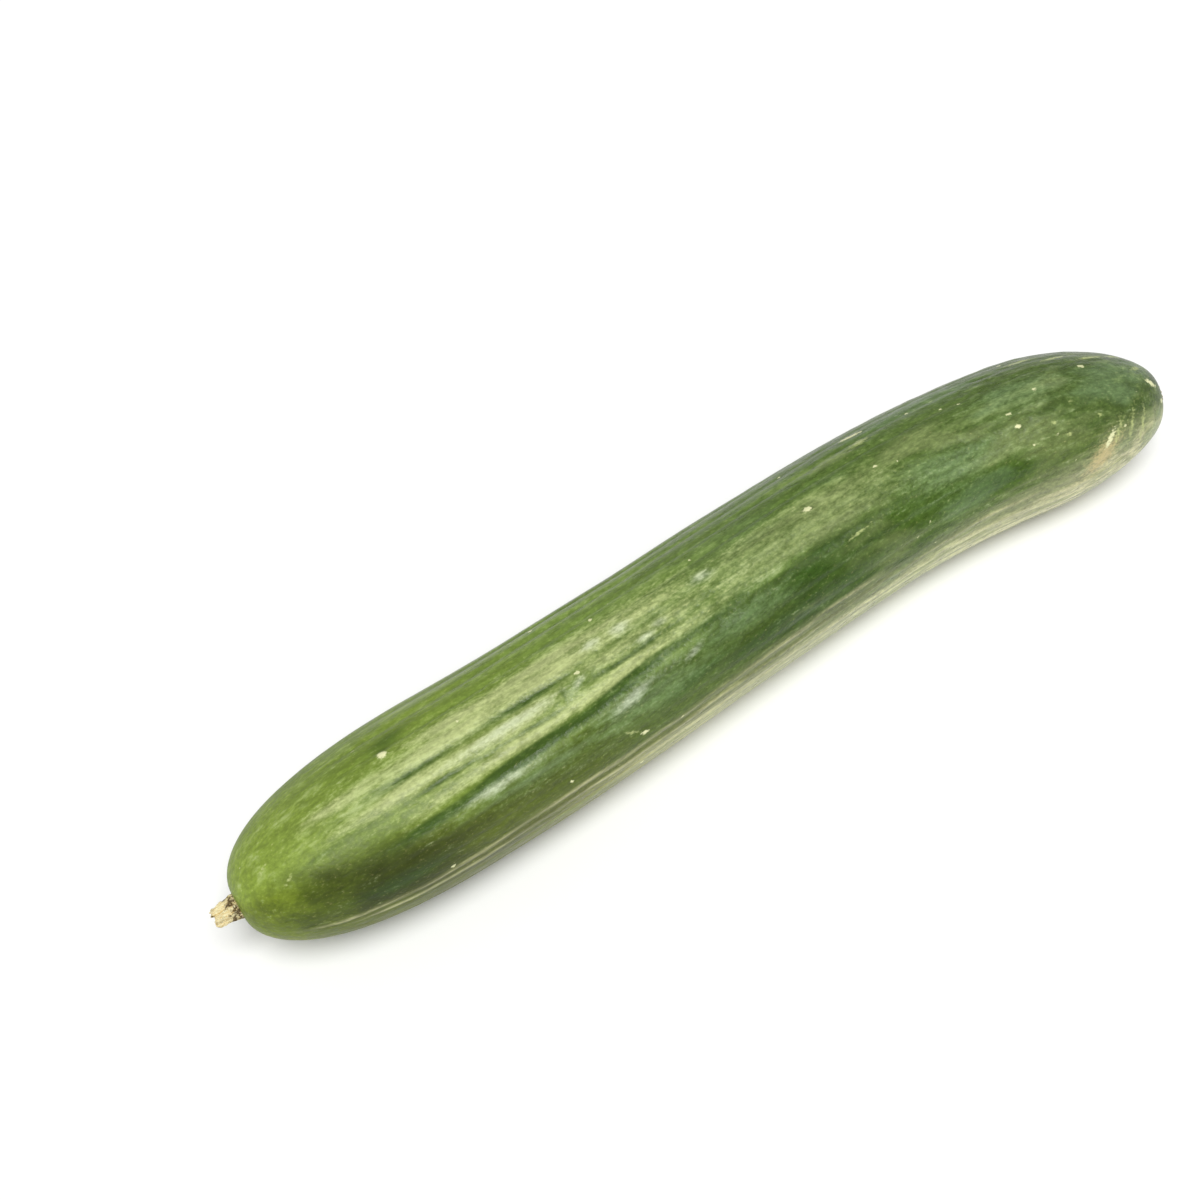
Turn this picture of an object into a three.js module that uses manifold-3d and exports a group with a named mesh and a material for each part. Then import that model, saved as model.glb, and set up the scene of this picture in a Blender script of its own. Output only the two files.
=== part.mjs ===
// A fresh slicing cucumber lying on its side: the fruit, the withered blossom left on one tip,
// and the stub of the stalk, snapped off almost flush, in a dimple at the other.
// Millimetres, +Z up. The origin is on the resting spot under the fruit's middle, and +X points
// along the fruit to the stalk end. Angles round the fruit start at +Y and go up over the top.
import * as THREE from "three";
import { mergeVertices } from "three/addons/utils/BufferGeometryUtils.js";
import Module from "manifold-3d";

const wasm = await Module();
wasm.setup();

const { cos, sin, exp, hypot, atan2, PI } = Math;
const degrees = THREE.MathUtils.degToRad;
const { lerp, smoothstep } = THREE.MathUtils;

// Fruit: length, taper, rounded ends and sideways bow
const LENGTH = 302; // before the dimples take a little off each tip
const BLOSSOM_RADIUS = 25;
const STALK_RADIUS = 22.2;
const BLOSSOM_CAP = { length: 68, power: 2.45 };
const STALK_CAP = { length: 46, power: 2 };
const BOW_RISE = 13;
const BOW_SKEW = 2.2; // over 1, so the bow's crest lies towards the stalk end
const RESTING_TRIM = 0.6; // how far the underside is pressed flat

// Fruit: relief of the skin
const TWIST = degrees(18); // turn of the corners and ridges from tip to tip
const TWIST_CENTRE = 0.33;
const LOBES = { count: 3, height: 0.75, angle: degrees(129) }; // one soft corner for each seed chamber
const RIDGES = { count: 24, height: 0.34, angle: degrees(96.5) };
const CREASE = { depth: 0.5, width: degrees(4.2), from: 0.1, to: 0.66 };
const CREASE_PATH = { start: degrees(145), drift: degrees(55) }; // it slants up the flank towards the stalk
const UNDERSIDE = { angle: degrees(262), width: degrees(34) }; // pressed smooth
const SEGMENTS_AROUND = 96;
const RINGS = 42;

// Dimples that the blossom and the stalk sit in
const BLOSSOM_DIMPLE = { depth: 0.7, radius: 4.6 };
const STALK_DIMPLE = { depth: 4, radius: 5 };
const SEAT_GAP = 0.3;

// Withered blossom: a pleated, ragged, hollow cone
const BLOSSOM = { length: 6.4, baseRadius: 3.7, tipRadius: 2.6, hollow: 2.4 };
const BLOSSOM_PLEATS = 5;
const BLOSSOM_SEGMENTS = 40;

// Stalk stub: a five-angled plug with a rounded foot and a sunken, torn face
const STALK = { length: 2.2, footRise: 1.1, footRadius: 3.3, faceRadius: 3.5, sunk: 0.6 };
const STALK_ANGLES = 5;
const STALK_SEGMENTS = 40;

const SKIN = new THREE.MeshStandardMaterial({ name: "skin", color: 0x5f8a34, roughness: 0.38, metalness: 0 });
const HUSK = new THREE.MeshStandardMaterial({ name: "husk", color: 0xcdb98a, roughness: 0.95, metalness: 0 });
const CORK = new THREE.MeshStandardMaterial({ name: "cork", color: 0xb3a878, roughness: 0.9, metalness: 0 });

// Turns a closed geometry into a solid that can be joined and cut
function solidFrom(geometry) {
  const bare = geometry.clone();
  bare.deleteAttribute("normal");
  bare.deleteAttribute("uv");
  const merged = mergeVertices(bare);
  const triVerts = new Uint32Array(merged.index.array);
  return new wasm.Manifold(
    new wasm.Mesh({ numProp: 3, vertProperties: merged.attributes.position.array, triVerts }),
  );
}

// Turns a solid back into a geometry
function geometryFrom(solid) {
  const { vertProperties, triVerts } = solid.getMesh();
  const geometry = new THREE.BufferGeometry();
  geometry.setAttribute("position", new THREE.BufferAttribute(vertProperties, 3));
  geometry.setIndex(new THREE.BufferAttribute(triVerts, 1));
  geometry.computeVertexNormals();
  return geometry;
}

// Moves every vertex of a lathe by a rule of its radius, height and angle
function reshape(geometry, rule) {
  const position = geometry.attributes.position;
  for (let i = 0; i < position.count; i++) {
    const [x, y, z] = [position.getX(i), position.getY(i), position.getZ(i)];
    const point = rule(hypot(x, z), y, atan2(x, z));
    position.setXYZ(i, point.x, point.y, point.z);
  }
  return geometry;
}

// Point at a radius, height and angle round the lathe's own axis
function latheAt(radius, height, angle) {
  return new THREE.Vector3(radius * sin(angle), height, radius * cos(angle));
}

// Rounded end: 0 at the tip, 1 where the end runs into the body
function capShare(distance, { length, power }) {
  const inward = Math.min(distance / length, 1);
  return (1 - (1 - inward) ** power) ** (1 / power);
}

function taperRadius(share) {
  return lerp(BLOSSOM_RADIUS, STALK_RADIUS, share);
}

function roundedShare(share) {
  return capShare(share * LENGTH, BLOSSOM_CAP) * capShare((1 - share) * LENGTH, STALK_CAP);
}

function bow(share) {
  return BOW_RISE * (sin(PI * share ** BOW_SKEW) - sin(PI * 0.5 ** BOW_SKEW));
}

function bowSlope(share) {
  const turn = PI * share ** BOW_SKEW;
  return (BOW_RISE * cos(turn) * PI * BOW_SKEW * share ** (BOW_SKEW - 1)) / LENGTH;
}

// Heading of the fruit's axis at a share of its length, as a turn about +Z
function heading(share) {
  return atan2(bowSlope(share), 1);
}

// Axis of the fruit at a share of its length. The underside stays level, so the axis follows the taper
function axisAt(share, along = share * LENGTH) {
  return new THREE.Vector3(along - LENGTH / 2, bow(share), taperRadius(share) - RESTING_TRIM);
}

// Shortest way round between two angles
function angleBetween(a, b) {
  return atan2(sin(a - b), cos(a - b));
}

function bump(distance, width) {
  return exp(-((distance / width) ** 2));
}

// Height of the corners, ridges and crease over the plain rounded skin
function relief(share, angle) {
  const turned = angle + TWIST * (share - TWIST_CENTRE);
  const corner = LOBES.height * cos(LOBES.count * (turned - LOBES.angle));
  const wander = 0.8 * sin(2 * PI * 1.3 * share + 2 * turned) + 0.5 * sin(2 * PI * 2.1 * share - 3 * turned);
  const patchy = 0.72 + 0.28 * sin(2 * PI * 1.7 * share + 5 * turned);
  const strength = smoothstep(share, 0.05, 0.22) * (1 - 0.72 * smoothstep(share, 0.45, 0.85)) * patchy;
  const ridge = RIDGES.height * strength * cos(RIDGES.count * (turned - RIDGES.angle) + wander);
  const creased = smoothstep(share, CREASE.from, 0.3) * (1 - smoothstep(share, 0.45, CREASE.to));
  const offCrease = angleBetween(angle, CREASE_PATH.start - CREASE_PATH.drift * share);
  const crease = -CREASE.depth * creased * bump(offCrease, CREASE.width);
  const pressed = bump(angleBetween(angle, UNDERSIDE.angle), UNDERSIDE.width);
  return corner + (ridge + crease) * (1 - pressed);
}

// Fruit: a lathe of the rounded taper, given its relief and bent along its bowed axis
function fruitGeometry() {
  const profile = [];
  for (let i = 0; i <= RINGS; i++) {
    const share = (1 - cos((PI * i) / RINGS)) / 2;
    profile.push(new THREE.Vector2(taperRadius(share) * roundedShare(share), share * LENGTH));
  }
  const lathe = new THREE.LatheGeometry(profile, SEGMENTS_AROUND);
  const bent = reshape(lathe, (plainRadius, height, angle) => {
    const share = height / LENGTH;
    const radius = plainRadius + relief(share, angle) * roundedShare(share) ** 2;
    const dimple = share < 0.5 ? BLOSSOM_DIMPLE : STALK_DIMPLE;
    const inward = dimple.depth * bump(plainRadius, dimple.radius) * (share < 0.5 ? 1 : -1);
    const across = heading(share);
    const point = axisAt(share);
    point.x += inward * cos(across) - radius * cos(angle) * sin(across);
    point.y += inward * sin(across) + radius * cos(angle) * cos(across);
    point.z += radius * sin(angle);
    return point;
  });
  const below = new THREE.BoxGeometry(2 * LENGTH, LENGTH, LENGTH).translate(0, 0, -LENGTH / 2);
  return geometryFrom(solidFrom(bent).subtract(solidFrom(below)));
}

// Withered blossom: a flared foot, five shrunken pleats, a ragged rim and the hollow left inside
function blossomGeometry() {
  const { length, baseRadius, tipRadius, hollow } = BLOSSOM;
  const outside = new THREE.SplineCurve([
    new THREE.Vector2(0.88 * baseRadius, 0),
    new THREE.Vector2(baseRadius, 0.14 * length),
    new THREE.Vector2(0.84 * baseRadius, 0.42 * length),
    new THREE.Vector2(0.8 * baseRadius, 0.7 * length),
    new THREE.Vector2(tipRadius, length),
  ]);
  const profile = [new THREE.Vector2(0, 0), ...outside.getPoints(9)];
  profile.push(new THREE.Vector2(0.6 * tipRadius, 0.93 * length), new THREE.Vector2(0, length - hollow));
  return reshape(new THREE.LatheGeometry(profile, BLOSSOM_SEGMENTS), (radius, height, angle) => {
    const shrivel = smoothstep(height, 0.1 * length, 0.6 * length);
    const turn = BLOSSOM_PLEATS * angle;
    const pleat = 0.09 * cos(turn + 0.16 * height) + 0.05 * cos(2 * turn - 0.3 * height);
    const ragged = 0.4 * sin(3 * angle + 0.6) + 0.25 * sin(7 * angle);
    const tear = ragged * smoothstep(height, 0.6 * length, length) * smoothstep(radius, 0, tipRadius);
    return latheAt(radius * (1 + shrivel * pleat), height + tear, angle);
  });
}

// Stalk stub: a five-angled plug, rounded where it sits in its dimple, that widens to its torn, sunken face
function stalkGeometry() {
  const { length, footRise, footRadius, faceRadius, sunk } = STALK;
  const side = new THREE.SplineCurve([
    new THREE.Vector2(0, 0),
    new THREE.Vector2(0.6 * footRadius, 0.42 * footRise),
    new THREE.Vector2(footRadius, footRise),
    new THREE.Vector2(faceRadius, 0.86 * length),
    new THREE.Vector2(0.88 * faceRadius, length),
  ]);
  const profile = side.getPoints(10);
  profile.push(new THREE.Vector2(0.5 * faceRadius, length - 0.7 * sunk), new THREE.Vector2(0, length - sunk));
  return reshape(new THREE.LatheGeometry(profile, STALK_SEGMENTS), (radius, height, angle) => {
    const upper = smoothstep(height, footRise, 0.9 * length);
    const angular = 1 + 0.07 * upper * cos(STALK_ANGLES * angle);
    const torn = 0.14 * sin(4 * angle + 1) + 0.1 * sin(9 * angle);
    const lift = torn * upper * smoothstep(radius, 0, faceRadius);
    return latheAt(radius * angular, height + lift, angle);
  });
}

function namedMesh(name, geometry, material) {
  const mesh = new THREE.Mesh(geometry, material);
  mesh.name = name;
  return mesh;
}

const fruit = namedMesh("fruit", fruitGeometry(), SKIN);

const blossom = namedMesh("dried_blossom", blossomGeometry(), HUSK);
blossom.position.copy(axisAt(0, BLOSSOM_DIMPLE.depth - SEAT_GAP));
blossom.rotation.z = PI / 2 + heading(0);

const stalk = namedMesh("stalk_stub", stalkGeometry(), CORK);
const stalkSeat = SEAT_GAP - STALK_DIMPLE.depth;
stalk.position.copy(axisAt(1));
stalk.position.x += stalkSeat * cos(heading(1));
stalk.position.y += stalkSeat * sin(heading(1));
stalk.rotation.z = heading(1) - PI / 2;

const cucumber = new THREE.Group();
cucumber.add(fruit, blossom, stalk);
export default cucumber;
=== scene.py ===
"""Dresses the cucumber: its ridged and mottled skin, the withered blossom and the snapped stalk stub.

Shapes are worked out in millimetres, in the frame's own axes, and become metres when a mesh is made.
Angles round the fruit are degrees from +Y over the top. Shares run from the blossom tip, at 0, to the
stalk tip, at 1.
"""
from math import radians
from typing import NamedTuple

import bpy
import numpy as np
from mathutils import Matrix, Vector, noise


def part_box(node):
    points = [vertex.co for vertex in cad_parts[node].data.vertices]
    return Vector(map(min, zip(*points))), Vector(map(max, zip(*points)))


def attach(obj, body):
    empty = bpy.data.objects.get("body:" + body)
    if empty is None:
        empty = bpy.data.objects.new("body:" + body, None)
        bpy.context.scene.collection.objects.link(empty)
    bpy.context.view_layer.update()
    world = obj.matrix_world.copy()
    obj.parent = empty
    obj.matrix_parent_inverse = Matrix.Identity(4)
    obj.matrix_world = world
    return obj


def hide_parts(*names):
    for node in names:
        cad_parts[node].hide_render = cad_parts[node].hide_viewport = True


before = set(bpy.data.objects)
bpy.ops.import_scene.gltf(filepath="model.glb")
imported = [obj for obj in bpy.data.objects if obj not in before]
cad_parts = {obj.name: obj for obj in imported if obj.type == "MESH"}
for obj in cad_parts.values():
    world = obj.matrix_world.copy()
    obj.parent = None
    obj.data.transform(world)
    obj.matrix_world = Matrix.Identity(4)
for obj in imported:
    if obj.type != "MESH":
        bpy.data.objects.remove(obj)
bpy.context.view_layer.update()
MM = 0.001
TURN = 2 * np.pi

# Fruit: the same length, taper, rounded ends and bow as the solid
LENGTH = 302.0
BLOSSOM_RADIUS = 25.0
STALK_RADIUS = 22.2
BLOSSOM_CAP = (68.0, 2.45)
STALK_CAP = (46.0, 2.0)
BOW_RISE = 13.0
BOW_SKEW = 2.2
RESTING_TRIM = 0.6
BLOSSOM_DIMPLE = (0.7, 4.6)
STALK_DIMPLE = (4.0, 5.0)
RINGS = 290
AROUND = 336
WALK_STEPS = 4001
LEAST_RADIUS = 0.2

# Fruit: relief of the skin
TWIST = 18.0
TWIST_CENTRE = 0.33
LOBES = {"count": 3, "height": 0.75, "angle": 129.0}
RIDGES = {"count": 24, "height": 0.34, "angle": 92.5, "sharpness": 1.6}
RIDGE_ENDS = {"start": (0.05, 0.22), "end": (0.45, 0.85), "loss": 0.72}
UNDERSIDE = {"angle": 262.0, "width": 34.0}
DENTS = {"height": 0.3, "size": (32, 15, 15)}
LUMPS = {"coarse": (5.0, 2.4, 2.4), "fine": (2.6, 1.4, 1.4), "fine_share": 0.5}
WRINKLES = {"least": 0.03, "crinkled": 0.2}
STALK_CRINKLES = {"start": 0.55, "full": 0.85, "strength": 0.55}
# How much ridges, furrows and wrinkles count towards the crest value; the skin is painted darker where it
# falls below 0, a painted shade in the grooves
CREST = {"ridge": 0.28, "furrow": 1.6, "wrinkle": 0.7}


class Furrow(NamedTuple):
    """A groove, or a rib where its depth is negative, that runs along the fruit."""

    first: float
    last: float
    start: float
    end: float
    depth: float
    width: float
    fade: float = 0.06


class Mark(NamedTuple):
    """A spot on the skin: its place, half its length and width in millimetres, its turn and its height."""

    share: float
    angle: float
    length: float
    width: float
    turn: float = 0.0
    height: float = 0.0


class Crinkle(NamedTuple):
    """A crinkled patch of skin: its shares, the angle of its middle, its width and its strength."""

    first: float
    last: float
    fade: float
    angle: float
    width: float
    strength: float = 1.0


class Stretch(NamedTuple):
    """A stretch of colour: the angles at which it comes in and goes out, and its shares."""

    comes_in: tuple
    goes_out: tuple
    first: float
    last: float
    fade: float


# The furrows that stand out on the side that shows
FURROWS = (
    Furrow(0.06, 0.58, 140.0, 115.0, 0.75, 4.8, 0.18),
    Furrow(0.46, 0.76, 117.0, 127.0, 0.3, 6.0, 0.1),
    Furrow(0.13, 0.60, 146.0, 128.0, -0.45, 4.0),
    Furrow(0.14, 0.36, 116.5, 117.0, 0.48, 2.8),
    Furrow(0.10, 0.37, 102.0, 100.5, 0.5, 3.2),
    Furrow(0.31, 0.50, 112.5, 110.0, 0.48, 2.6),
    Furrow(0.34, 0.52, 99.0, 98.0, 0.34, 2.8),
    Furrow(0.03, 0.18, 119.0, 115.0, 0.36, 3.2),
    Furrow(0.05, 0.22, 108.0, 106.0, 0.26, 2.8),
)
PALE_RIBS = (
    Furrow(0.04, 0.54, 95.0, 91.5, -0.25, 5.2),
    Furrow(0.06, 0.34, 110.5, 108.5, -0.32, 4.6),
    Furrow(0.11, 0.56, 127.5, 112.5, -0.28, 4.6, 0.1),
    Furrow(0.33, 0.54, 105.0, 105.0, -0.25, 4.0),
    Furrow(0.17, 0.44, 86.5, 83.5, -0.2, 4.2),
)
BELLY_LINES = (
    Furrow(0.02, 0.66, 177.0, 164.0, -0.2, 1.7),
    Furrow(0.06, 0.86, 183.0, 171.0, -0.2, 1.6),
    Furrow(0.30, 0.97, 191.0, 181.0, -0.2, 2.2),
)
FLANK_EDGE = (
    (0.0, 114.0),
    (0.06, 113.0),
    (0.12, 122.0),
    (0.2, 132.0),
    (0.4, 123.0),
    (0.5, 119.0),
    (0.6, 119.0),
    (0.68, 123.0),
    (1.0, 136.0),
)
BELLY_EDGE = (
    (0.0, 176.0),
    (0.3, 171.0),
    (0.5, 168.0),
    (0.7, 163.0),
    (0.8, 158.0),
    (0.9, 147.0),
    (0.95, 138.0),
    (1.0, 129.0),
)
BELLY_SPREAD = (
    (0.0, 40.0),
    (0.5, 34.0),
    (0.8, 60.0),
)
FLANK = {"reach": 14, "narrowed": 7, "widened": 18, "end": (270, 350)}
FLANK_SOFT = (0.12, 0.3)
FLANK_CRISP = (0.42, 0.78, 0.1)
BELLY = {"lead": 8, "end": (305, 350)}
SMOOTH_BELLY = {"angle": 182.0, "width": 26.0, "strength": 0.75}
PLAIN_SIDE = {"angle": 120.0, "width": 34.0, "first": 0.1, "last": 0.56, "fade": 0.1}
CRINKLES = (
    Crinkle(0.28, 0.56, 0.1, 104.0, 15.0),
    Crinkle(0.3, 0.72, 0.12, 135.0, 12.0, 0.6),
)
UPPER_SIDE = Stretch((66, 86), (118, 130), 0.04, 0.6, 0.2)
OLIVE_SIDE = Stretch((78, 94), (114, 123), 0.4, 0.78, 0.16)
PALE = {"side": 0.35, "ribs": 0.65, "loss": 0.8, "fade": (0.3, 0.5)}

# How far past its edge a mark falls off
MARK_EDGE = 1.2

# Waxy patches with painted glints, patches of painted bluish sheen, corky marks and dark spots
WAXY_GLINT_PATCHES = (
    Mark(0.27, 108.8, 14.0, 1.4, height=0.1),
    Mark(0.337, 109.4, 2.8, 1.2, -20, 0.2),
    Mark(0.366, 92.1, 2.8, 1.3, height=0.15),
    Mark(0.396, 93.2, 2.8, 1.4, height=0.15),
    Mark(0.409, 107.8, 3.2, 1.2, height=0.15),
    Mark(0.427, 105.1, 2.2, 1.1, height=0.12),
    Mark(0.485, 94.4, 3.4, 1.5, height=0.1),
    Mark(0.232, 136.3, 9.0, 1.0, height=0.08),
    Mark(0.372, 134.6, 6.0, 1.5, -12, 0.1),
    Mark(0.438, 131.9, 3.0, 0.7, -15, 0.1),
)
# Patches of painted bluish sheen along the lower rib and towards the stalk
BLUISH_SHEEN_PATCHES = (
    Mark(0.27, 142, 20.0, 2.6),
    Mark(0.38, 141, 22.0, 4.2),
    Mark(0.49, 133, 14.0, 2.8),
    Mark(0.75, 124, 13.0, 5.0),
    Mark(0.85, 92, 13.0, 5.0),
)
CORKY_MARKS = (
    Mark(0.165, 80.5, 1.4, 1.1, 30, 0.5),
    Mark(0.368, 161.5, 1.2, 0.6, 20),
    Mark(0.291, 161.8, 0.5, 0.5),
    Mark(0.604, 96.0, 1.3, 0.9, 35, 0.2),
    Mark(0.694, 52.0, 3.4, 0.8, 10),
    Mark(0.825, 116.0, 1.0, 0.6, 20, 0.15),
    Mark(0.823, 105.5, 0.6, 0.5),
    Mark(0.859, 94.3, 0.6, 0.5),
    Mark(0.917, 150.0, 3.4, 0.8, -52, 0.15),
    Mark(0.978, 106.0, 1.6, 0.8, 40, 0.2),
)
FAINT_MARKS = (
    Mark(0.033, 102.4, 1.6, 0.35, -35),
    Mark(0.047, 122.0, 1.8, 0.35, -35),
    Mark(0.114, 90.7, 1.0, 0.5, 20),
    Mark(0.358, 156.0, 2.2, 0.4, 35),
    Mark(0.63, 128.0, 4.5, 0.35, -6),
    Mark(0.692, 66.0, 2.6, 1.3),
    Mark(0.86, 123.0, 0.8, 0.6),
    Mark(0.872, 134.0, 0.8, 0.6),
    Mark(0.885, 112.0, 0.7, 0.5),
    Mark(0.91, 128.0, 0.8, 0.5, 30),
    Mark(0.927, 147.0, 4.4, 0.6, -66, 0.12),
    Mark(0.943, 149.0, 6.0, 0.6, -72, 0.12),
    Mark(0.957, 154.0, 6.5, 0.6, -78, 0.12),
    Mark(0.90, 62.0, 4.0, 0.7, -10),
    Mark(0.93, 68.0, 4.0, 0.7, -14),
    Mark(0.955, 60.0, 3.0, 0.7, -20),
    Mark(0.87, 54.0, 4.5, 0.7, -4),
    Mark(0.968, 84.0, 2.0, 0.6, -35),
)
TAN_MARKS = (Mark(0.907, 163.0, 6.5, 3.0, -35),)
DARK_MARKS = (
    Mark(0.175, 71.0, 6.0, 2.2, -8, -0.1),
    Mark(0.168, 75.0, 1.4, 1.2, 0, -0.1),
    Mark(0.3215, 109.5, 0.9, 2.2, 10, -0.35),
    Mark(0.13, 160.0, 12.0, 2.6),
    Mark(0.43, 148.0, 12.0, 1.8, -6),
    Mark(0.50, 152.0, 14.0, 2.2),
    Mark(0.585, 130.5, 11.0, 3.4),
    Mark(0.62, 150.0, 16.0, 2.4),
    Mark(0.80, 146.0, 15.0, 3.0),
)

# Withered blossom: a crumpled, pleated cone that is open at its tip
BLOSSOM = {"foot": 3.6, "waist": 3.1, "rim": 2.75, "least": 0.3, "sunk": 1.0, "wall": 0.45, "hollow": 2.6}
BLOSSOM_RINGS = (60, 34)
WAIST_PLACE = 0.35
PLEATS = {"count": 5, "foot": 0.12, "rim": 0.4, "twist": 2.2, "phase": 0.8}
CRUMPLE = {"height": 0.4, "coarse": 1.0, "fine": 0.4, "fine_share": 0.6, "length": 4, "radius": 1.6}
RAGGED_RIM = {"height": 0.9, "size": 0.5, "shift": 7.3}

# Stalk stub: a corky plug with five blunt angles, a torn face and a pith hollow
STUB = {"foot": 3.2, "face": 3.45, "sunk": 0.4}
TORN = {"height": 0.3, "coarse": (0.7, 0.7, 0.9), "fine": (0.3, 0.3, 0.5), "fine_share": 0.7, "side": 0.4}
WORN_EDGE = {"depth": 0.35, "width": 0.08}
STUB_ANGLES = {"count": 5, "height": 0.14}
PITH = {"radius": 0.9, "depth": 0.45}
VESSELS = {"count": 10, "ring": 2.1, "width": 0.35, "height": 0.2}
STUB_RINGS = (26, 40)
SMALL_AROUND = 120

# Studio floor and light
FLOOR_SIZE = 6.0
FLOOR_DROP = 0.1 * MM
FLOOR_TONE = (0.9, 0.9, 0.895, 1.0)
FLOOR_ROUGHNESS = 0.7
WHITE = (1.0, 1.0, 1.0, 1.0)
SURROUND = 0.3
KEY_LIGHT = 3.0
KEY_SPREAD = radians(35.0)
KEY_FROM = Vector((-0.1, -0.36, 1.0))

# Camera, matched to the photograph's outline
CAMERA_AIM = Vector((-24.0, 21.4, 23.4)) * MM
CAMERA_AZIMUTH = radians(-23.7)
CAMERA_ELEVATION = radians(55.0)
CAMERA_DISTANCE = 0.55
CAMERA_LENS = 59.0
CAMERA_SENSOR = 36.0
CAMERA_ROLL = radians(-8.8)


def bump(distance, width):
    return np.exp(-((distance / width) ** 2))


def rise(value, low, high):
    """0 below low, 1 above high and smooth between."""
    t = np.clip((value - low) / (high - low), 0, 1)
    return t * t * (3 - 2 * t)


def window(value, first, last, fade):
    return rise(value, first, first + fade) * (1 - rise(value, last - fade, last))


def angle_between(a, b):
    """Shortest way round between two angles in degrees."""
    return (a - b + 180) % 360 - 180


def ripple(points, size):
    """Smooth noise from about -1 to 1, whose lumps have the given size, or one size for each axis."""
    return np.array([noise.noise(p) for p in (points / np.array(size)).reshape(-1, 3).tolist()])


def wave(share, height, count, phase):
    """A sine wave that runs the given number of times along the fruit."""
    return height * np.sin(TURN * count * share + phase)


def cap_share(distance, cap):
    length, power = cap
    inward = np.minimum(distance / length, 1)
    return (1 - (1 - inward) ** power) ** (1 / power)


def taper_radius(share):
    return BLOSSOM_RADIUS + (STALK_RADIUS - BLOSSOM_RADIUS) * share


def rounded_share(share):
    return cap_share(share * LENGTH, BLOSSOM_CAP) * cap_share((1 - share) * LENGTH, STALK_CAP)


def plain_radius(share):
    return taper_radius(share) * rounded_share(share)


def bow(share):
    return BOW_RISE * (np.sin(np.pi * share**BOW_SKEW) - np.sin(np.pi * 0.5**BOW_SKEW))


def heading(share):
    """Direction of the fruit's axis, in radians about +Z."""
    turn = np.pi * share**BOW_SKEW
    slope = BOW_RISE * np.cos(turn) * np.pi * BOW_SKEW * share ** (BOW_SKEW - 1) / LENGTH
    return np.arctan(slope)


def ring_shares():
    """Shares at which the rings lie, evenly spaced along the skin from tip to tip."""
    fine = (1 - np.cos(np.linspace(0, np.pi, WALK_STEPS))) / 2
    steps = np.hypot(np.diff(fine * LENGTH), np.diff(plain_radius(fine)))
    walked = np.concatenate([[0], np.cumsum(steps)])
    return np.interp(np.linspace(0, walked[-1], RINGS + 1), walked, fine)


def straightened(share, angle):
    """Place on the fruit as if it had no bow, for noise that shows no seam."""
    radius = np.maximum(plain_radius(share), LEAST_RADIUS)
    a = np.radians(angle)
    return np.stack([share * LENGTH, radius * np.cos(a), radius * np.sin(a)], -1)


def furrow_mask(furrow, share, angle):
    """How far each place lies in a furrow, from 0 to 1: its path wanders and its depth comes and goes."""
    along = (share - furrow.first) / (furrow.last - furrow.first)
    wander = wave(share, height=0.8, count=6, phase=furrow.start)
    wander = wander + wave(share, height=0.4, count=15, phase=furrow.end)
    middle = furrow.start + (furrow.end - furrow.start) * along + wander
    strength = 0.82 + wave(share, height=0.18, count=9, phase=3 * furrow.start)
    ends = window(share, furrow.first, furrow.last, furrow.fade)
    return ends * strength * bump(angle_between(angle, middle), furrow.width)


def mark_mask(mark, share, angle):
    """1 in the middle of a mark, falling off smoothly past its edge."""
    along = (share - mark.share) * LENGTH
    around = np.radians(angle_between(angle, mark.angle)) * plain_radius(share)
    turn = np.radians(mark.turn)
    u = along * np.cos(turn) + around * np.sin(turn)
    v = around * np.cos(turn) - along * np.sin(turn)
    return bump(np.hypot(u / mark.length, v / mark.width), MARK_EDGE)


def most(masks):
    return np.max(list(masks), axis=0)


def ridge_wave(share, angle):
    """Even ridges all round: 1 on a broad crest, -1 in a narrow groove, weaker towards both ends."""
    turned = np.radians(angle + TWIST * (share - TWIST_CENTRE))
    wander = wave(share, height=0.8, count=1.3, phase=2 * turned)
    wander = wander + wave(share, height=0.5, count=2.1, phase=-3 * turned)
    phase = RIDGES["count"] * (turned - radians(RIDGES["angle"])) + wander
    groove = np.exp(RIDGES["sharpness"] * (-np.cos(phase) - 1))
    patchy = 0.72 + wave(share, height=0.28, count=1.7, phase=5 * turned)
    fading = 1 - RIDGE_ENDS["loss"] * rise(share, *RIDGE_ENDS["end"])
    strength = rise(share, *RIDGE_ENDS["start"]) * fading * patchy
    plain = bump(angle_between(angle, PLAIN_SIDE["angle"]), PLAIN_SIDE["width"])
    plain = plain * window(share, PLAIN_SIDE["first"], PLAIN_SIDE["last"], PLAIN_SIDE["fade"])
    smooth = bump(angle_between(angle, SMOOTH_BELLY["angle"]), SMOOTH_BELLY["width"])
    return (1 - 2 * groove) * strength * (1 - plain) * (1 - SMOOTH_BELLY["strength"] * smooth)


def crinkle_mask(crinkle, share, angle):
    along = window(share, crinkle.first, crinkle.last, crinkle.fade)
    return crinkle.strength * along * bump(angle_between(angle, crinkle.angle), crinkle.width)


def skin_wrinkles(share, angle, places):
    """Fine wrinkles in millimetres, higher where the skin is crinkled."""
    lumps = ripple(places, LUMPS["coarse"]) + LUMPS["fine_share"] * ripple(places, LUMPS["fine"])
    near_stalk = rise(share, STALK_CRINKLES["start"], STALK_CRINKLES["full"])
    crinkled = sum(crinkle_mask(c, share, angle) for c in CRINKLES)
    crinkled = crinkled + STALK_CRINKLES["strength"] * near_stalk
    return (WRINKLES["least"] + WRINKLES["crinkled"] * crinkled) * lumps


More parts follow.
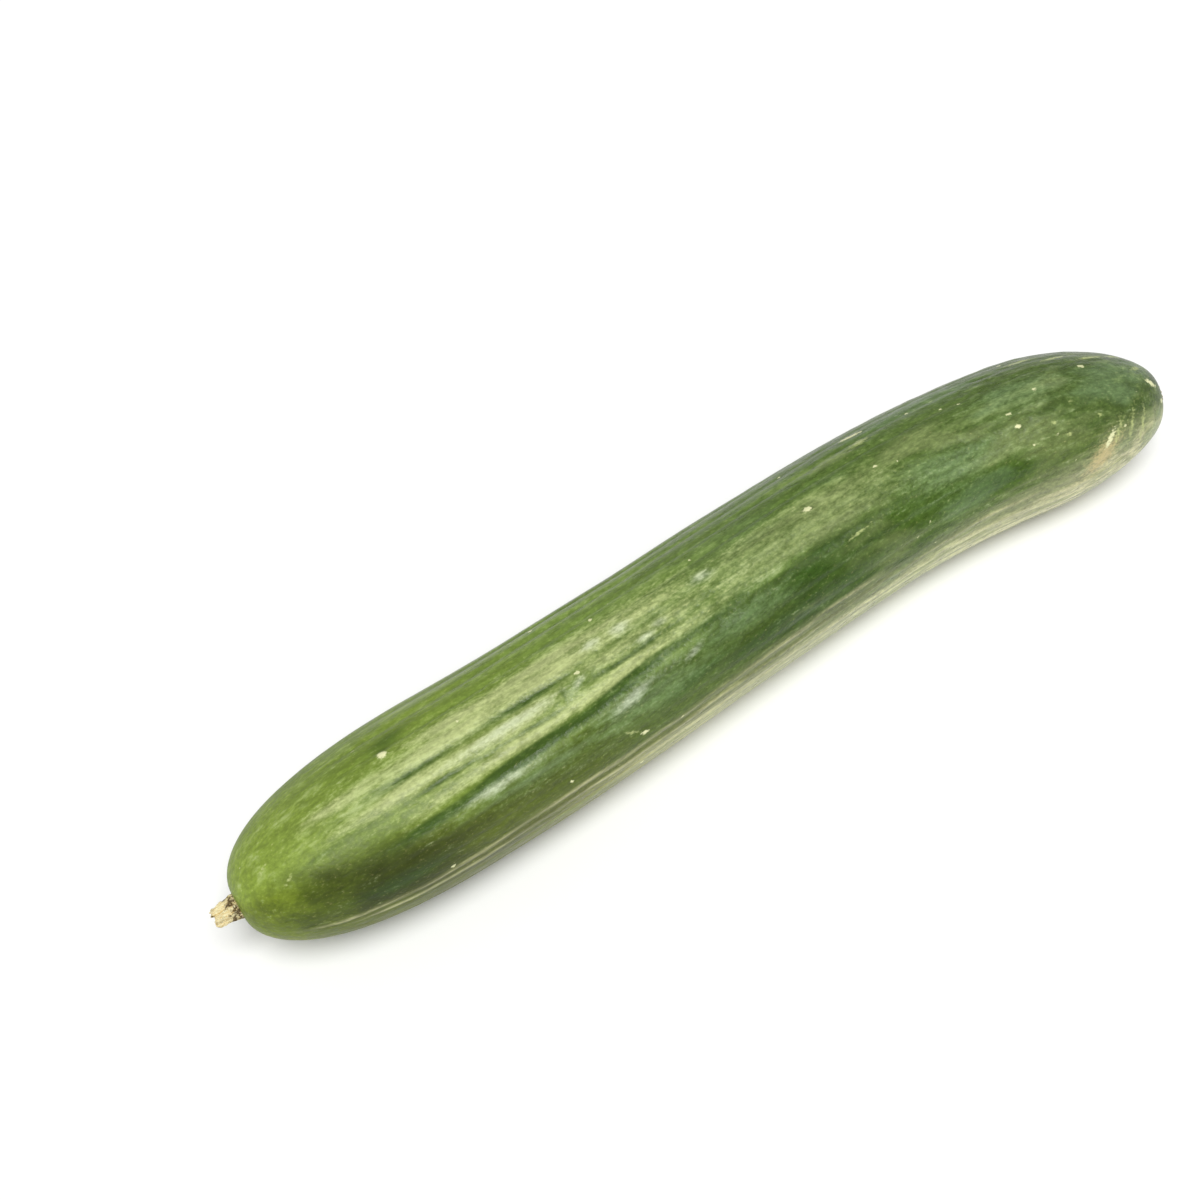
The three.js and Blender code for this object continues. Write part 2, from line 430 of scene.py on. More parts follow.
def skin_relief(share, angle, places):
    """Relief of the skin in millimetres, and how far each place is a crest or, below 0, a groove."""
    turned = angle + TWIST * (share - TWIST_CENTRE)
    corner = LOBES["height"] * np.cos(LOBES["count"] * np.radians(turned - LOBES["angle"]))
    ridge = ridge_wave(share, angle)
    furrows = FURROWS + PALE_RIBS + BELLY_LINES
    furrowed = sum(-f.depth * furrow_mask(f, share, angle) for f in furrows)
    marks = WAXY_GLINT_PATCHES + CORKY_MARKS + FAINT_MARKS + DARK_MARKS
    spotted = sum(m.height * mark_mask(m, share, angle) for m in marks if m.height)
    dents = DENTS["height"] * ripple(places, DENTS["size"])
    wrinkles = skin_wrinkles(share, angle, places)
    pressed = 1 - bump(angle_between(angle, UNDERSIDE["angle"]), UNDERSIDE["width"])
    relief = corner + (RIDGES["height"] * ridge + furrowed + spotted + dents + wrinkles) * pressed
    crest = CREST["ridge"] * ridge + CREST["furrow"] * furrowed + CREST["wrinkle"] * wrinkles
    return relief, np.clip(crest, -1, 1)


def stretch_mask(stretch, share, angle):
    along = window(share, stretch.first, stretch.last, stretch.fade)
    return along * rise(angle, *stretch.comes_in) * (1 - rise(angle, *stretch.goes_out))


def flank_mask(share, angle):
    """1 on the dark flank, whose upper edge is soft near the blossom and crisp in the middle."""
    edge = np.interp(share, *zip(*FLANK_EDGE))
    soft = 1 - rise(share, *FLANK_SOFT)
    crisp = window(share, *FLANK_CRISP)
    full = edge + FLANK["reach"] - FLANK["narrowed"] * crisp + FLANK["widened"] * soft
    return rise(angle, edge - FLANK["reach"] * soft, full) * (1 - rise(angle, *FLANK["end"]))


def belly_mask(share, angle):
    """0 above the pale belly, rising to 1 over its spread; its paleness is partly the skin's ground spot
    and partly a painted reflection of the floor.
    """
    edge = np.interp(share, *zip(*BELLY_EDGE))
    spread = np.interp(share, *zip(*BELLY_SPREAD))
    return np.clip((angle - edge + BELLY["lead"]) / spread, 0, 1) * (1 - rise(angle, *BELLY["end"]))


def skin_fields(share, angle):
    """Masks that the skin's colours follow."""
    ribs = most(furrow_mask(f, share, angle) for f in PALE_RIBS)
    ribs = ribs * (1 - PALE["loss"] * rise(share, *PALE["fade"]))
    pale = PALE["side"] * stretch_mask(UPPER_SIDE, share, angle) + PALE["ribs"] * ribs
    return {
        "share": share,
        "pale": np.clip(pale, 0, 1),
        "flank": flank_mask(share, angle),
        "belly": belly_mask(share, angle),
        "olive": stretch_mask(OLIVE_SIDE, share, angle),
        "line": most(furrow_mask(f, share, angle) for f in BELLY_LINES),
        "waxy_glint": most(mark_mask(m, share, angle) for m in WAXY_GLINT_PATCHES),
        "bluish_sheen": most(mark_mask(m, share, angle) for m in BLUISH_SHEEN_PATCHES),
        "cork": most(mark_mask(m, share, angle) for m in CORKY_MARKS),
        "faint": most(mark_mask(m, share, angle) for m in FAINT_MARKS),
        "tan": most(mark_mask(m, share, angle) for m in TAN_MARKS),
        "dark": most(mark_mask(m, share, angle) for m in DARK_MARKS),
    }


def fruit_points(share, angle, relief):
    """Vertices of the fruit in millimetres: relief on the rounded taper, dimpled and bent along the bow."""
    radius = plain_radius(share) + relief * rounded_share(share) ** 2
    near_blossom = share < 0.5
    depth = np.where(near_blossom, BLOSSOM_DIMPLE[0], -STALK_DIMPLE[0])
    width = np.where(near_blossom, BLOSSOM_DIMPLE[1], STALK_DIMPLE[1])
    inward = depth * bump(plain_radius(share), width)
    across = heading(share)
    a = np.radians(angle)
    x = (share - 0.5) * LENGTH + inward * np.cos(across) - radius * np.cos(a) * np.sin(across)
    y = bow(share) + inward * np.sin(across) + radius * np.cos(a) * np.cos(across)
    z = taper_radius(share) - RESTING_TRIM + radius * np.sin(a)
    return np.stack([x, y, np.maximum(z, 0)], -1)


def wrapped_faces(rings, around):
    """Faces of a closed skin: a first pole, rings of quads and a last pole."""
    last_pole = 1 + rings * around
    faces = []
    for j in range(around):
        k = (j + 1) % around
        faces.append((0, 1 + k, 1 + j))
        for i in range(rings - 1):
            row = 1 + i * around
            faces.append((row + j, row + k, row + around + k, row + around + j))
        faces.append((last_pole, last_pole - around + j, last_pole - around + k))
    return faces


def new_piece(name, points, faces, material):
    """A smooth mesh object from points in millimetres."""
    mesh = bpy.data.meshes.new(name)
    mesh.from_pydata((points * MM).tolist(), [], faces)
    mesh.polygons.foreach_set("use_smooth", [True] * len(mesh.polygons))
    mesh.materials.append(material)
    piece = bpy.data.objects.new(name, mesh)
    bpy.context.collection.objects.link(piece)
    return piece


def add_field(piece, name, values):
    kind, key = ("FLOAT_VECTOR", "vector") if values.ndim == 2 else ("FLOAT", "value")
    layer = piece.data.attributes.new(name, kind, "POINT")
    layer.data.foreach_set(key, values.astype(np.float32).ravel())


def make_fruit(material):
    shares = ring_shares()
    inner, turn = np.meshgrid(shares[1:-1], np.arange(AROUND) * 360 / AROUND, indexing="ij")
    share = np.concatenate([[0.0], inner.ravel(), [1.0]])
    angle = np.concatenate([[0.0], turn.ravel(), [0.0]])
    places = straightened(share, angle)
    relief, crest = skin_relief(share, angle, places)
    points = fruit_points(share, angle, relief)
    fruit = new_piece("fruit_skin", points, wrapped_faces(RINGS - 1, AROUND), material)
    for name, values in skin_fields(share, angle).items():
        add_field(fruit, name, values)
    add_field(fruit, "crest", crest)
    add_field(fruit, "straight", places)
    return fruit


def spun_points(origin, turn, out, radius, angle):
    """Points round an axis that leaves the origin level, turned about +Z from +X; angle 90 is the top."""
    ahead = np.array([np.cos(turn), np.sin(turn), 0.0])
    left = np.array([-np.sin(turn), np.cos(turn), 0.0])
    across = radius * np.cos(np.radians(angle))
    up = radius * np.sin(np.radians(angle))
    return origin + np.outer(out, ahead) + np.outer(across, left) + np.outer(up, [0.0, 0.0, 1.0])


def profile_steps(side, face):
    """Steps along a profile: from 0 to 1 up the side, then to 2 over the end."""
    return np.concatenate([np.linspace(0, 1, side), np.linspace(1, 2, face)[1:]])


def spun_grid(steps):
    """Steps along a profile from pole to pole and angles round it, one of each for every vertex."""
    way, turn = np.meshgrid(steps[1:-1], np.arange(SMALL_AROUND) * 360 / SMALL_AROUND, indexing="ij")
    return np.concatenate([steps[:1], way.ravel(), steps[-1:]]), np.concatenate([[0], turn.ravel(), [0]])


def make_spun(name, material, origin, turn, steps, shape):
    """A closed piece from a function that gives the distance out, the radius and the colour fields."""
    way, angle = spun_grid(steps)
    out, radius, fields = shape(way, angle)
    points = spun_points(origin, turn, out, radius, angle)
    piece = new_piece(name, points, wrapped_faces(len(steps) - 2, SMALL_AROUND), material)
    a = np.radians(angle)
    add_field(piece, "local", np.stack([out, radius * np.cos(a), radius * np.sin(a)], -1))
    for field, values in fields.items():
        add_field(piece, field, values)
    return piece


def node_box(node):
    """Lowest and highest corner of a solid in millimetres."""
    low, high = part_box(node)
    return np.array(low) / MM, np.array(high) / MM


def make_blossom(material):
    low, high = node_box("dried_blossom")
    length = high[0] - low[0]
    origin = np.array([high[0], (low[1] + high[1]) / 2, (low[2] + high[2]) / 2])

    def shape(way, angle):
        a = np.radians(angle)
        outside = np.clip(way, 0, 1)
        inside = np.clip(way - 1, 0, 1)
        spot = (outside * CRUMPLE["length"], CRUMPLE["radius"] * np.cos(a), CRUMPLE["radius"] * np.sin(a))
        spot = np.stack(spot, -1)
        folds = np.cos(PLEATS["count"] * a + PLEATS["twist"] * outside + PLEATS["phase"])
        pleat = (PLEATS["foot"] + (PLEATS["rim"] - PLEATS["foot"]) * outside) * folds
        fine = ripple(spot, CRUMPLE["fine"])
        crumpled = CRUMPLE["height"] * (ripple(spot, CRUMPLE["coarse"]) + CRUMPLE["fine_share"] * fine)
        widths = (BLOSSOM["foot"], BLOSSOM["waist"], BLOSSOM["rim"] - PLEATS["rim"])
        wall = np.interp(outside, (0, WAIST_PLACE, 1), widths)
        torn = ripple(spot + RAGGED_RIM["shift"], RAGGED_RIM["size"])
        ragged = RAGGED_RIM["height"] * torn * outside**2
        reach = length + BLOSSOM["sunk"] - RAGGED_RIM["height"] / 2
        out = -BLOSSOM["sunk"] + reach * outside + ragged
        out = out - BLOSSOM["hollow"] * rise(inside, 0.08, 0.6)
        closing = 1 - rise(inside, 0.5, 1.0) ** 0.7
        radius = wall + pleat + crumpled - BLOSSOM["wall"] * rise(inside, 0, 0.2)
        opening = rise(outside, 0, 0.03)
        return out, np.maximum(radius, BLOSSOM["least"]) * closing * opening, {"along": way}

    steps = profile_steps(*BLOSSOM_RINGS)
    return make_spun("withered_blossom", material, origin, np.pi + heading(0.0), steps, shape)


def make_stub(material):
    low, high = node_box("stalk_stub")
    turn = heading(1.0)
    middle = (low + high) / 2
    half = (high[0] - low[0] - 2 * STUB["face"] * abs(np.sin(turn))) / 2 / np.cos(turn)
    height = 2 * half + STUB["sunk"]
    ahead = np.array([np.cos(turn), np.sin(turn), 0.0])
    origin = middle - ahead * (half + STUB["sunk"])

    def shape(way, angle):
        a = np.radians(angle)
        side = np.clip(way, 0, 1)
        inward = 1 - np.clip(way - 1, 0, 1)
        wall = STUB["foot"] + (STUB["face"] - STUB["foot"]) * side
        blunt = 1 + STUB_ANGLES["height"] / STUB["face"] * np.cos(STUB_ANGLES["count"] * a)
        radius = wall * blunt * inward * rise(side, 0, 0.08)
        on_face = np.stack([radius * np.cos(a), radius * np.sin(a), 4 * side], -1)
        fine = ripple(on_face, TORN["fine"])
        torn = TORN["height"] * (ripple(on_face, TORN["coarse"]) + TORN["fine_share"] * fine)
        vessel = bump(radius - VESSELS["ring"], VESSELS["width"])
        vessel = vessel * (0.5 + 0.5 * np.cos(VESSELS["count"] * a)) * rise(way, 1.0, 1.05)
        pith = bump(radius, PITH["radius"]) * rise(way, 1.0, 1.1)
        relief = torn + VESSELS["height"] * vessel - PITH["depth"] * pith
        out = height * side + relief * rise(side, 0.2, 1)
        out = out - WORN_EDGE["depth"] * bump(inward - 1, WORN_EDGE["width"]) * side
        radius = radius + TORN["side"] * torn * rise(side, 0.1, 0.4) * inward
        return out, radius, {"along": way, "vessel": vessel, "pith": pith}

    steps = profile_steps(*STUB_RINGS)
    return make_spun("corky_stub", material, origin, turn, steps, shape)


class Shader:
    """Adds nodes to one material, each wired to what it takes in."""

    def __init__(self, name):
        self.material = bpy.data.materials.new(name)
        self.material.use_nodes = True
        self.tree = self.material.node_tree
        self.surface = self.tree.nodes["Principled BSDF"]

    def give(self, socket, value):
        if isinstance(value, bpy.types.NodeSocket):
            self.tree.links.new(value, socket)
        else:
            socket.default_value = value

    def add(self, kind, takes, **settings):
        made = self.tree.nodes.new(kind)
        for name, value in settings.items():
            setattr(made, name, value)
        for socket, value in takes.items():
            self.give(made.inputs[socket], value)
        return made

    def set(self, **values):
        for name, value in values.items():
            self.give(self.surface.inputs[name.replace("_", " ")], value)

    def field(self, name, output="Fac"):
        return self.add("ShaderNodeAttribute", {}, attribute_name=name).outputs[output]

    def scaled(self, places, size):
        scale = tuple(1 / s for s in size)
        return self.add("ShaderNodeMapping", {"Vector": places, "Scale": scale}).outputs[0]

    def noise(self, places, size, detail=3.0, rough=0.55, twist=0.0):
        takes = {"Vector": self.scaled(places, size), "Scale": 1.0, "Detail": detail}
        takes.update({"Roughness": rough, "Distortion": twist})
        return self.add("ShaderNodeTexNoise", takes).outputs[0]

    def noise_colour(self, places, size):
        takes = {"Vector": self.scaled(places, size), "Scale": 1.0, "Detail": 1.0}
        return self.add("ShaderNodeTexNoise", takes).outputs["Color"]

    def dots(self, places, size):
        takes = {"Vector": self.scaled(places, size), "Scale": 1.0}
        return self.add("ShaderNodeTexVoronoi", takes)

    def span(self, value, low, high, to_low=0.0, to_high=1.0):
        takes = {0: value, 1: low, 2: high, 3: to_low, 4: to_high}
        return self.add("ShaderNodeMapRange", takes, interpolation_type="SMOOTHSTEP").outputs[0]

    def sum(self, *terms):
        """Sum of (value, weight) pairs."""
        total = 0.0
        for value, weight in terms:
            takes = {0: value, 1: weight, 2: total}
            total = self.add("ShaderNodeMath", takes, operation="MULTIPLY_ADD").outputs[0]
        return total

    def times(self, *values):
        total = values[0]
        for value in values[1:]:
            total = self.add("ShaderNodeMath", {0: total, 1: value}, operation="MULTIPLY").outputs[0]
        return total

    def mix(self, share, first, second, mode="MIX"):
        takes = {0: share, 6: first, 7: second}
        return self.add("ShaderNodeMix", takes, data_type="RGBA", blend_type=mode).outputs[2]

    def ramp(self, value, stops):
        made = self.add("ShaderNodeValToRGB", {"Fac": value})
        ends = made.color_ramp.elements
        while len(ends) < len(stops):
            ends.new(0.5)
        for stop, (place, colour) in zip(ends, stops):
            stop.position = place
            stop.color = colour
        return made.outputs[0]

    def shaded(self, tone, shade):
        """A colour made darker or lighter by a value round 1."""
        grey = self.add("ShaderNodeCombineColor", {0: shade, 1: shade, 2: shade}).outputs[0]
        return self.mix(1.0, tone, grey, "MULTIPLY")

    def raise_by(self, height, distance, strength, under=None):
        takes = {"Height": height, "Distance": distance, "Strength": strength}
        if under is not None:
            takes["Normal"] = under
        return self.add("ShaderNodeBump", takes).outputs[0]


def colour(red, green, blue):
    """A linear colour from the 0 to 255 values of a screen colour."""
    levels = np.array([red, green, blue]) / 255
    linear = np.where(levels <= 0.04045, levels / 12.92, ((levels + 0.055) / 1.055) ** 2.4)
    return (*linear.tolist(), 1.0)


# Skin colours from the blossom tip to the stalk tip: over the top, down the flank and underneath. The pale
# underneath is partly the skin's own ground spot and partly a painted reflection of the floor.
TOP_TONES = (
    (0.0, colour(134, 156, 58)),
    (0.08, colour(122, 143, 56)),
    (0.13, colour(114, 136, 50)),
    (0.2, colour(118, 140, 54)),
    (0.36, colour(112, 136, 60)),
    (0.5, colour(102, 125, 60)),
    (0.62, colour(88, 112, 48)),
    (0.8, colour(84, 106, 48)),
    (1.0, colour(68, 88, 36)),
)
FLANK_TONES = (
    (0.0, colour(116, 134, 34)),
    (0.05, colour(76, 92, 8)),
    (0.1, colour(50, 61, 0)),
    (0.16, colour(53, 63, 0)),
    (0.22, colour(78, 92, 12)),
    (0.3, colour(75, 91, 10)),
    (0.4, colour(82, 103, 36)),
    (0.58, colour(56, 80, 24)),
    (0.75, colour(72, 98, 28)),
    (1.0, colour(90, 108, 48)),
)
SIDE_TONES = (
    (0.0, colour(112, 130, 30)),
    (0.15, colour(66, 76, 2)),
    (0.3, colour(84, 94, 18)),
    (0.45, colour(108, 118, 62)),
    (0.7, colour(124, 135, 88)),
    (0.9, colour(132, 140, 96)),
    (1.0, colour(116, 128, 78)),
)
BELLY_AND_REFLECTION_TONES = (
    (0.0, colour(128, 142, 30)),
    (0.06, colour(100, 112, 10)),
    (0.15, colour(84, 90, 0)),
    (0.28, colour(108, 114, 20)),
    (0.4, colour(178, 180, 126)),
    (0.55, colour(194, 196, 150)),
    (0.7, colour(206, 208, 160)),
    (0.9, colour(216, 212, 168)),
    (1.0, colour(176, 180, 128)),
)
PALE_RIB = colour(179, 189, 128)
# Pale lines along the underside: partly pale streaks of the ground spot, partly a painted reflection of the
# floor
PALE_LINE_AND_REFLECTION = colour(196, 194, 146)
PALE_HAZE = colour(158, 172, 112)
GREY_GREEN = colour(112, 126, 74)
# Painted highlight: the pale colour of the glints on the waxy patches
PAINTED_GLINT = colour(208, 216, 190)
# Bluish bloom colour, also used for the painted bluish sheen along the rib
BLOOM_AND_SHEEN = colour(122, 148, 104)
OLIVE = colour(138, 150, 96)
DEEP_GREEN = colour(46, 76, 14)
CREAM = colour(228, 229, 178)
FAINT = colour(186, 196, 128)
TAN = colour(208, 190, 136)
SKIN_SPECULAR = 0.3
SKIN_BUMPS = {"mottle": 0.0004, "pebbles": -0.0001, "grain": 0.00012}
SKIN_BUMP_STRENGTH = 0.5


def skin_ground(s, places, share, streaks, clouds):
    """Ground colour of the skin: green above, dark down the flank and pale underneath, where the pale tones
    and lines are partly a painted reflection of the floor.
    """
    place = s.sum((share, 1.0), (clouds, 0.12), (1.0, -0.06))
    ragged = s.sum((streaks, 0.9), (clouds, 0.5), (1.0, -0.7))
    fingers = s.sum((s.noise(places, (60, 3.2, 3.2), detail=4, rough=0.6), 2.4), (1.0, -1.2))
    flank = s.span(s.sum((s.field("flank"), 1.0), (ragged, 0.48)), 0.05, 0.95)
    belly = s.sum((s.field("belly"), 1.0), (fingers, 0.3), (ragged, 0.25))
    tone = s.mix(flank, s.ramp(place, TOP_TONES), s.ramp(place, FLANK_TONES))
    lines = s.noise(places, (70, 1.8, 1.8), detail=4, rough=0.65)
    under = s.mix(s.span(lines, 0.44, 0.6, 0.0, 0.6), s.ramp(place, BELLY_AND_REFLECTION_TONES), GREY_GREEN)
    tone = s.mix(s.span(belly, 0.04, 0.36, 0.0, 0.92), tone, s.ramp(place, SIDE_TONES))
    # The pale underneath: partly ground spot, partly painted reflection of the floor
    tone = s.mix(s.span(belly, 0.34, 0.78), tone, under)
    broken = s.span(streaks, 0.36, 0.62, 0.25, 0.8)
    return s.mix(s.times(s.field("line"), broken), tone, PALE_LINE_AND_REFLECTION)


def skin_patches(s, tone, streaks, mottle, grain):
    """Pale ribs, painted shade in the grooves, dark patches, a painted bluish sheen and painted glints on
    waxy patches, each with a ragged edge.
    """
    ragged = s.sum((streaks, 0.6), (mottle, 0.5), (grain, 0.4), (1.0, -0.75))

    def torn(name, weight, low, high, most=1.0):
        return s.span(s.sum((s.field(name), 1.0), (ragged, weight)), low, high, 0.0, most)

    crest = s.field("crest")
    tone = s.mix(torn("olive", 1.6, 0.3, 1.3, 0.65), tone, OLIVE)
    tone = s.mix(torn("pale", 1.2, 0.1, 0.9, 0.9), tone, PALE_RIB)
    # Painted shade: grooves and wrinkle hollows are darkened towards deep green
    tone = s.mix(s.span(crest, -0.08, -0.75, 0.0, 0.8), tone, DEEP_GREEN)
    tone = s.mix(torn("dark", 0.9, 0.1, 1.1, 0.6), tone, DEEP_GREEN)
    # Painted bluish sheen on its patches
    tone = s.mix(torn("bluish_sheen", 1.6, 0.1, 1.3, 0.42), tone, BLOOM_AND_SHEEN)
    # Painted highlight: pale glints on the waxy patches
    return s.mix(torn("waxy_glint", 1.8, 0.1, 1.4, 0.55), tone, PAINTED_GLINT)


def skin_clouds(s, tone, places, share):
    """Broad, soft clouds of bluish and olive green, which come in towards the stalk end."""
    broad = s.noise(places, (34, 11, 11), detail=2)
    stalk_half = s.span(share, 0.45, 0.7)
    tone = s.mix(s.times(s.span(broad, 0.52, 0.68, 0.0, 0.4), stalk_half), tone, BLOOM_AND_SHEEN)
    return s.mix(s.times(s.span(broad, 0.48, 0.34, 0.0, 0.42), stalk_half), tone, OLIVE)


def skin_marks(s, tone, places, share, grain):
    """Corky scars where they are, and small pale specks that grow thicker towards the stalk end."""
    cork = s.span(s.sum((s.field("cork"), 1.0), (grain, 1.2), (1.0, -0.6)), 0.3, 0.75, 0.0, 0.95)
    tan = s.span(s.sum((s.field("tan"), 1.0), (grain, 1.6), (1.0, -0.8)), 0.1, 1.1, 0.0, 0.75)
    faint = s.span(s.sum((s.field("faint"), 1.0), (grain, 1.4), (1.0, -0.7)), 0.25, 1.0, 0.0, 0.75)
    tone = s.mix(tan, tone, TAN)
    tone = s.mix(faint, tone, FAINT)
    tone = s.mix(cork, tone, CREAM)
    wobble = s.noise_colour(places, (1.2, 0.8, 0.8))
    wobbly = s.add("ShaderNodeVectorMath", {0: places, 1: wobble}).outputs[0]
    spots = s.dots(wobbly, (6.5, 4.5, 4.5))
    chance = s.add("ShaderNodeSeparateColor", {0: spots.outputs["Color"]})
    size = s.span(chance.outputs[1], 0.0, 1.0, 0.03, 0.11)
    size = s.sum((size, 1.0), (s.span(share, 0.6, 0.9), 0.05))
    edge = s.sum((spots.outputs["Distance"], 1.0), (size, -1.0))
    chosen = s.span(s.sum((chance.outputs[0], 1.0), (share, 0.5)), 0.98, 1.0)
    return s.mix(s.times(s.span(edge, 0.03, -0.02), chosen, 0.8), tone, CREAM)


def skin_haze(s, tone, share, bands, mottle):
    """Pale, broken bands over the upper side, stronger towards the blossom."""
    hazy = s.span(s.sum((bands, 0.65), (mottle, 0.35)), 0.5, 0.68)
    above = s.span(s.field("flank"), 0.0, 0.6, 1.0, 0.0)
    return s.mix(s.times(hazy, above, s.span(share, 0.0, 0.5, 0.62, 0.2)), tone, PALE_HAZE)


def skin_shading(s, tone, share, lengthwise, fine):
    """Light and dark: streaks in the blossom half, and mostly fine mottling in the stalk half."""
    lengthwise = s.times(lengthwise, s.span(share, 0.5, 0.75, 1.0, 0.4))
    spread = s.sum(*fine, (lengthwise, 1.0), (1.0, 0.26))
    older = s.span(share, 0.2, 0.7, 0.25, 0.33)
    depth = s.times(s.span(spread, 0.37, 0.63, -1.0, 1.0), older)
    return s.shaded(tone, s.sum((depth, 1.0), (1.0, 1.0)))


def skin_normal(s, **heights):
    normal = None
    for name, height in heights.items():
        normal = s.raise_by(height, SKIN_BUMPS[name], SKIN_BUMP_STRENGTH, normal)
    return normal


def skin_material():
    s = Shader("cucumber_skin")
    places = s.field("straight", "Vector")
    share = s.field("share")
    streaks = s.noise(places, (28, 2.0, 2.0), detail=4, rough=0.6)
    clouds = s.noise(places, (15, 7, 7), detail=3)
    mottle = s.noise(places, (4.2, 1.8, 1.8), detail=3, rough=0.6)
    grain = s.noise(places, (1.1, 0.65, 0.65), detail=3, rough=0.6)
    bands = s.noise(places, (45, 4.2, 4.2), detail=3, rough=0.6)
    pebbles = s.dots(places, (1.7, 1.05, 1.05)).outputs["Distance"]
    tone = skin_ground(s, places, share, streaks, clouds)
    tone = skin_clouds(s, tone, places, share)
    tone = skin_patches(s, tone, streaks, mottle, grain)
    tone = skin_haze(s, tone, share, bands, mottle)
    lengthwise = s.sum((streaks, 0.24), (bands, 0.26), (1.0, -0.25))
    tone = skin_shading(s, tone, share, lengthwise, ((grain, 0.24), (mottle, 0.3), (pebbles, -0.08)))
    tone = skin_marks(s, tone, places, share, grain)
    duller = s.span(share, 0.1, 0.28, 0.18, 0.0)
    rough = s.sum((s.span(mottle, 0.3, 0.7, 0.26, 0.4), 1.0), (duller, 1.0))
    s.set(Base_Color=tone, Roughness=rough, Specular_IOR_Level=SKIN_SPECULAR)
    s.set(Normal=skin_normal(s, mottle=mottle, pebbles=pebbles, grain=grain))
    return s.material


# Withered petals and corky stalk
STRAW = colour(236, 226, 182)
HONEY = colour(216, 188, 124)
DARK_BROWN = colour(70, 52, 24)
MOSSY = colour(128, 128, 60)
CORK = colour(196, 182, 132)
CORK_BROWN = colour(120, 96, 52)
CORK_GREEN = colour(128, 142, 74)


def husk_material():
    """Straw-coloured fibres with honey streaks, brown mottles towards the foot, painted shade inside the
    open hollow and mossy specks.
    """
    s = Shader("withered_petals")
    places = s.field("local", "Vector")
    along = s.field("along")
    fibres = s.noise(places, (2.6, 0.35, 0.35), detail=4, rough=0.65)
    blots = s.noise(places, (1.5, 1.1, 1.1), detail=4, rough=0.6)
    specks = s.noise(places, (0.4, 0.4, 0.4), detail=3, rough=0.6)
    tone = s.mix(s.span(fibres, 0.4, 0.66), STRAW, HONEY)
    mossy = s.times(s.span(specks, 0.52, 0.62), s.span(along, 0.6, 0.15))
    tone = s.mix(mossy, tone, MOSSY)
    near_foot = s.span(along, 0.8, 0.35, -0.14, 0.1)
    # Painted shade: the inside of the hollow is pushed towards dark brown
    inner = s.span(along, 1.0, 1.3, 0.0, 0.2)
    brown = s.sum((blots, 0.7), (specks, 0.3), (near_foot, 1.0), (inner, 1.0))
    tone = s.mix(s.span(brown, 0.53, 0.64, 0.0, 0.92), tone, DARK_BROWN)
    tone = s.shaded(tone, s.span(specks, 0.3, 0.7, 0.8, 1.15))
    normal = s.raise_by(fibres, distance=0.0004, strength=0.8)
    normal = s.raise_by(specks, distance=0.0002, strength=0.6, under=normal)
    s.set(Base_Color=tone, Roughness=s.span(fibres, 0.3, 0.7, 0.78, 0.95), Normal=normal)
    s.set(Specular_IOR_Level=0.2)
    return s.material


def cork_material():
    """Corky tan with pale vessel ends, a brown pith, green round the foot and dark fibres."""
    s = Shader("corky_stalk")
    places = s.field("local", "Vector")
    along = s.field("along")
    flakes = s.noise(places, (0.9, 0.5, 0.5), detail=4, rough=0.65)
    pores = s.noise(places, (0.25, 0.25, 0.25), detail=3)
    tone = s.mix(s.span(flakes, 0.42, 0.68), CORK, CORK_BROWN)
    tone = s.mix(s.span(along, 0.95, 0.4, 0.0, 0.7), tone, CORK_GREEN)
    tone = s.mix(s.times(s.field("vessel"), 0.8), tone, STRAW)
    tone = s.mix(s.times(s.field("pith"), 0.7), tone, CORK_BROWN)
    tone = s.mix(s.span(pores, 0.56, 0.68, 0.0, 0.7), tone, DARK_BROWN)
    normal = s.raise_by(flakes, distance=0.0004, strength=0.8)
    normal = s.raise_by(pores, distance=0.0002, strength=0.7, under=normal)
    s.set(Base_Color=tone, Roughness=s.span(flakes, 0.3, 0.7, 0.75, 0.92), Normal=normal)
    s.set(Specular_IOR_Level=0.25)
    return s.material


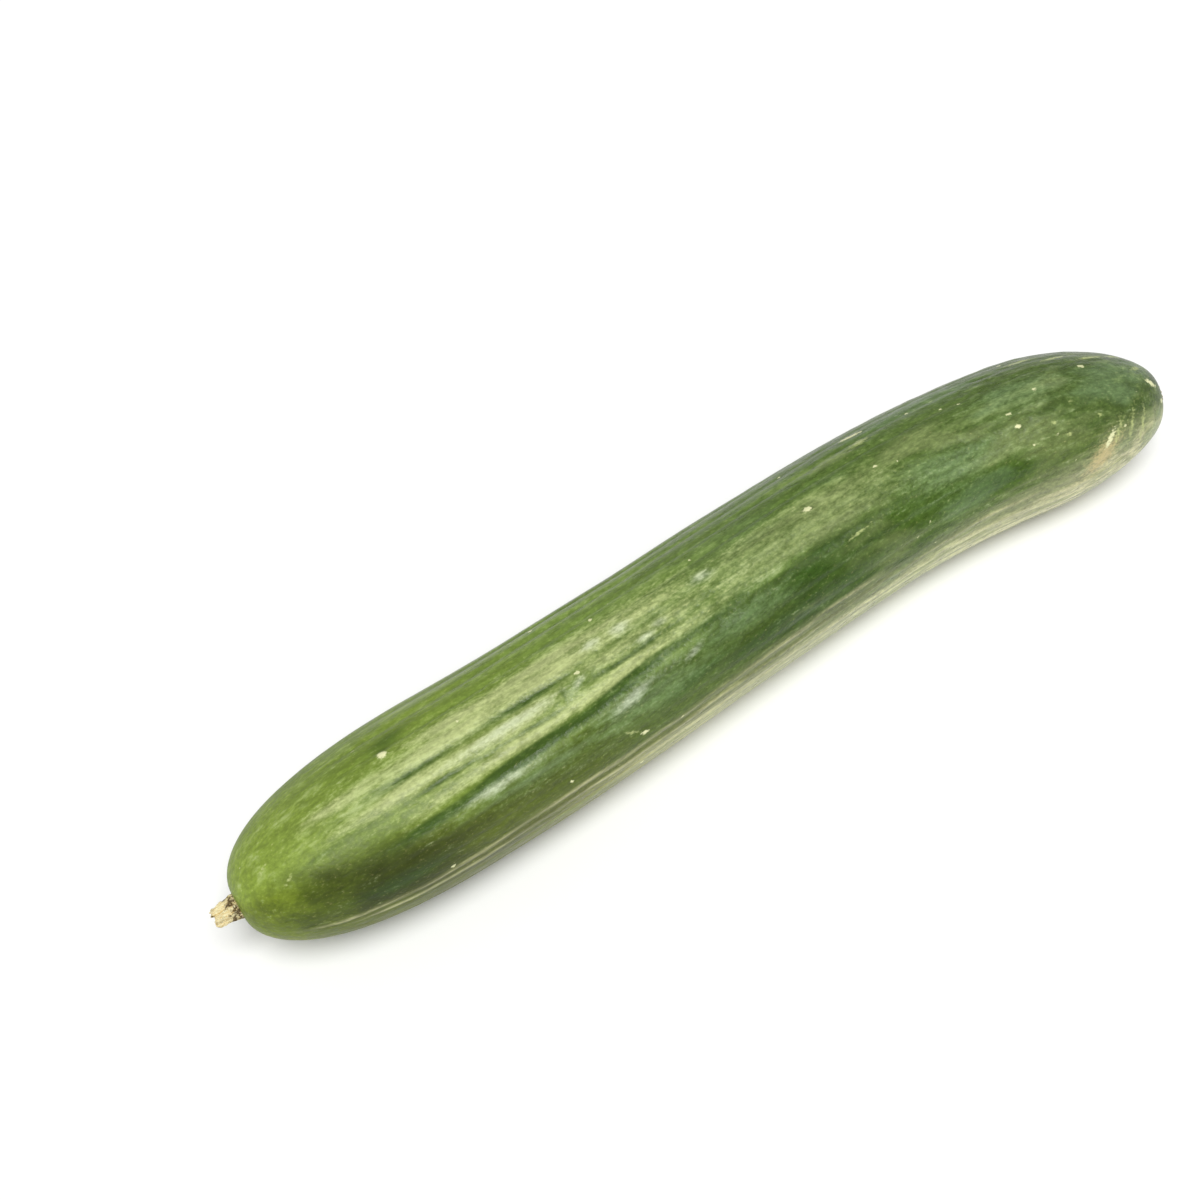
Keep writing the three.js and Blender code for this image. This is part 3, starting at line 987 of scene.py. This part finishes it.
def floor_material():
    s = Shader("studio_floor")
    s.set(Base_Color=FLOOR_TONE, Roughness=FLOOR_ROUGHNESS)
    return s.material


def make_floor():
    bpy.ops.mesh.primitive_plane_add(size=FLOOR_SIZE, location=(0, 0, -FLOOR_DROP))
    floor = bpy.context.object
    floor.name = "studio_floor"
    floor.data.materials.append(floor_material())


def light_studio():
    """An even white surround, which lights less than it shows, and one broad, soft light from above."""
    world = bpy.data.worlds.new("studio")
    world.use_nodes = True
    nodes = world.node_tree.nodes
    links = world.node_tree.links
    surround = nodes["Background"]
    surround.inputs["Color"].default_value = WHITE
    backdrop = nodes.new("ShaderNodeMapRange")
    backdrop.inputs["To Min"].default_value = SURROUND
    seen = nodes.new("ShaderNodeLightPath").outputs["Is Camera Ray"]
    links.new(seen, backdrop.inputs["Value"])
    links.new(backdrop.outputs["Result"], surround.inputs["Strength"])
    bpy.context.scene.world = world
    data = bpy.data.lights.new("key", "SUN")
    data.energy = KEY_LIGHT
    data.angle = KEY_SPREAD
    key = bpy.data.objects.new("key", data)
    key.rotation_euler = KEY_FROM.to_track_quat("Z", "Y").to_euler()
    bpy.context.collection.objects.link(key)
    bpy.context.scene.view_settings.view_transform = "Standard"


def make_camera():
    azimuth, elevation = CAMERA_AZIMUTH, CAMERA_ELEVATION
    level = np.cos(elevation)
    back = Vector((np.sin(azimuth) * level, -np.cos(azimuth) * level, np.sin(elevation)))
    data = bpy.data.cameras.new("camera")
    data.lens = CAMERA_LENS
    data.sensor_width = CAMERA_SENSOR
    camera = bpy.data.objects.new("camera", data)
    place = Matrix.Translation(CAMERA_AIM + back * CAMERA_DISTANCE)
    turn = (-back).to_track_quat("-Z", "Y").to_matrix().to_4x4()
    camera.matrix_world = place @ turn @ Matrix.Rotation(CAMERA_ROLL, 4, "Z")
    bpy.context.collection.objects.link(camera)
    bpy.context.scene.camera = camera


def dress(piece, node):
    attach(piece, "root")
    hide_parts(node)


make_camera()
light_studio()
make_floor()
dress(make_fruit(skin_material()), "fruit")
dress(make_blossom(husk_material()), "dried_blossom")
dress(make_stub(cork_material()), "stalk_stub")
